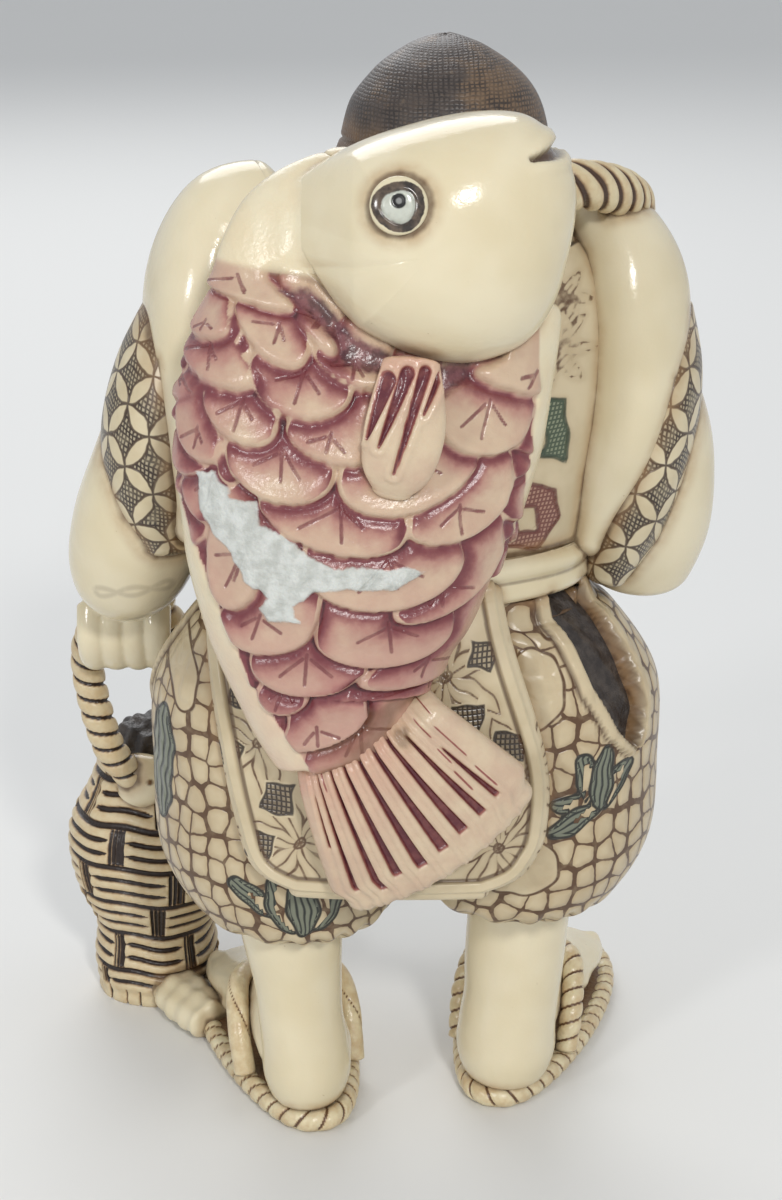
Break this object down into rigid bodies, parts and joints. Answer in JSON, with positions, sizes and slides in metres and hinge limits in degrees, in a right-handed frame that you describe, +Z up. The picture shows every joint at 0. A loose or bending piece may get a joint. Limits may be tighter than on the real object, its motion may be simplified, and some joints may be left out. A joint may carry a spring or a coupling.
{
  "type": "marble dust figurine",
  "caption": "Cast marble dust figurine of a fisherman who carries a big carp on the back and a wicker basket in one hand, polished ivory colour with stained engraving.",
  "frame": {"origin": "middle of the figure's outline, on the ground under the sandals", "axes": "+Z up, the figure's face looks towards -Y and its back with the carp towards +Y, +X is the figure's left, where the basket hangs"},
  "size_m": [0.064, 0.059, 0.102],
  "materials": {
    "polished": "polished, glossy",
    "engraved": "semi-gloss, engraved and stained brown",
    "scales": "semi-gloss, purple-red stain between the scales",
    "dark_stain": "satin, stained nearly black",
    "wicker": "semi-gloss, dark brown stain in the weave",
    "eye": "glossy"
  },
  "bodies": {
    "root": {"coat": "engraved", "belt": "polished", "sash_knot": "polished", "coat_tail": "engraved", "coat_front": "engraved", "trouser_left": "engraved", "trouser_right": "engraved", "slit_lining_left": "dark_stain", "slit_lining_right": "dark_stain", "leg_left": "polished", "leg_right": "polished", "sandal_left": "polished", "sandal_right": "polished", "strap_left": "polished", "strap_right": "polished", "carrying_rope": "polished", "head": "polished", "cap": "dark_stain", "collar_left": "polished", "collar_right": "polished", "sleeve_left": "polished", "sleeve_right": "polished", "cuff_left": "engraved", "cuff_right": "engraved", "arm_left": "polished", "arm_right": "polished", "hand_left": "polished", "hand_right": "polished", "carp_body": "scales", "carp_head": "polished", "carp_eye": "eye", "carp_side_fin": "scales", "carp_tail_fin": "scales", "basket": "wicker", "basket_filling": "dark_stain", "basket_handle": "wicker", "basket_lug": "polished", "base_web": "polished"}
  },
  "joints": []
}
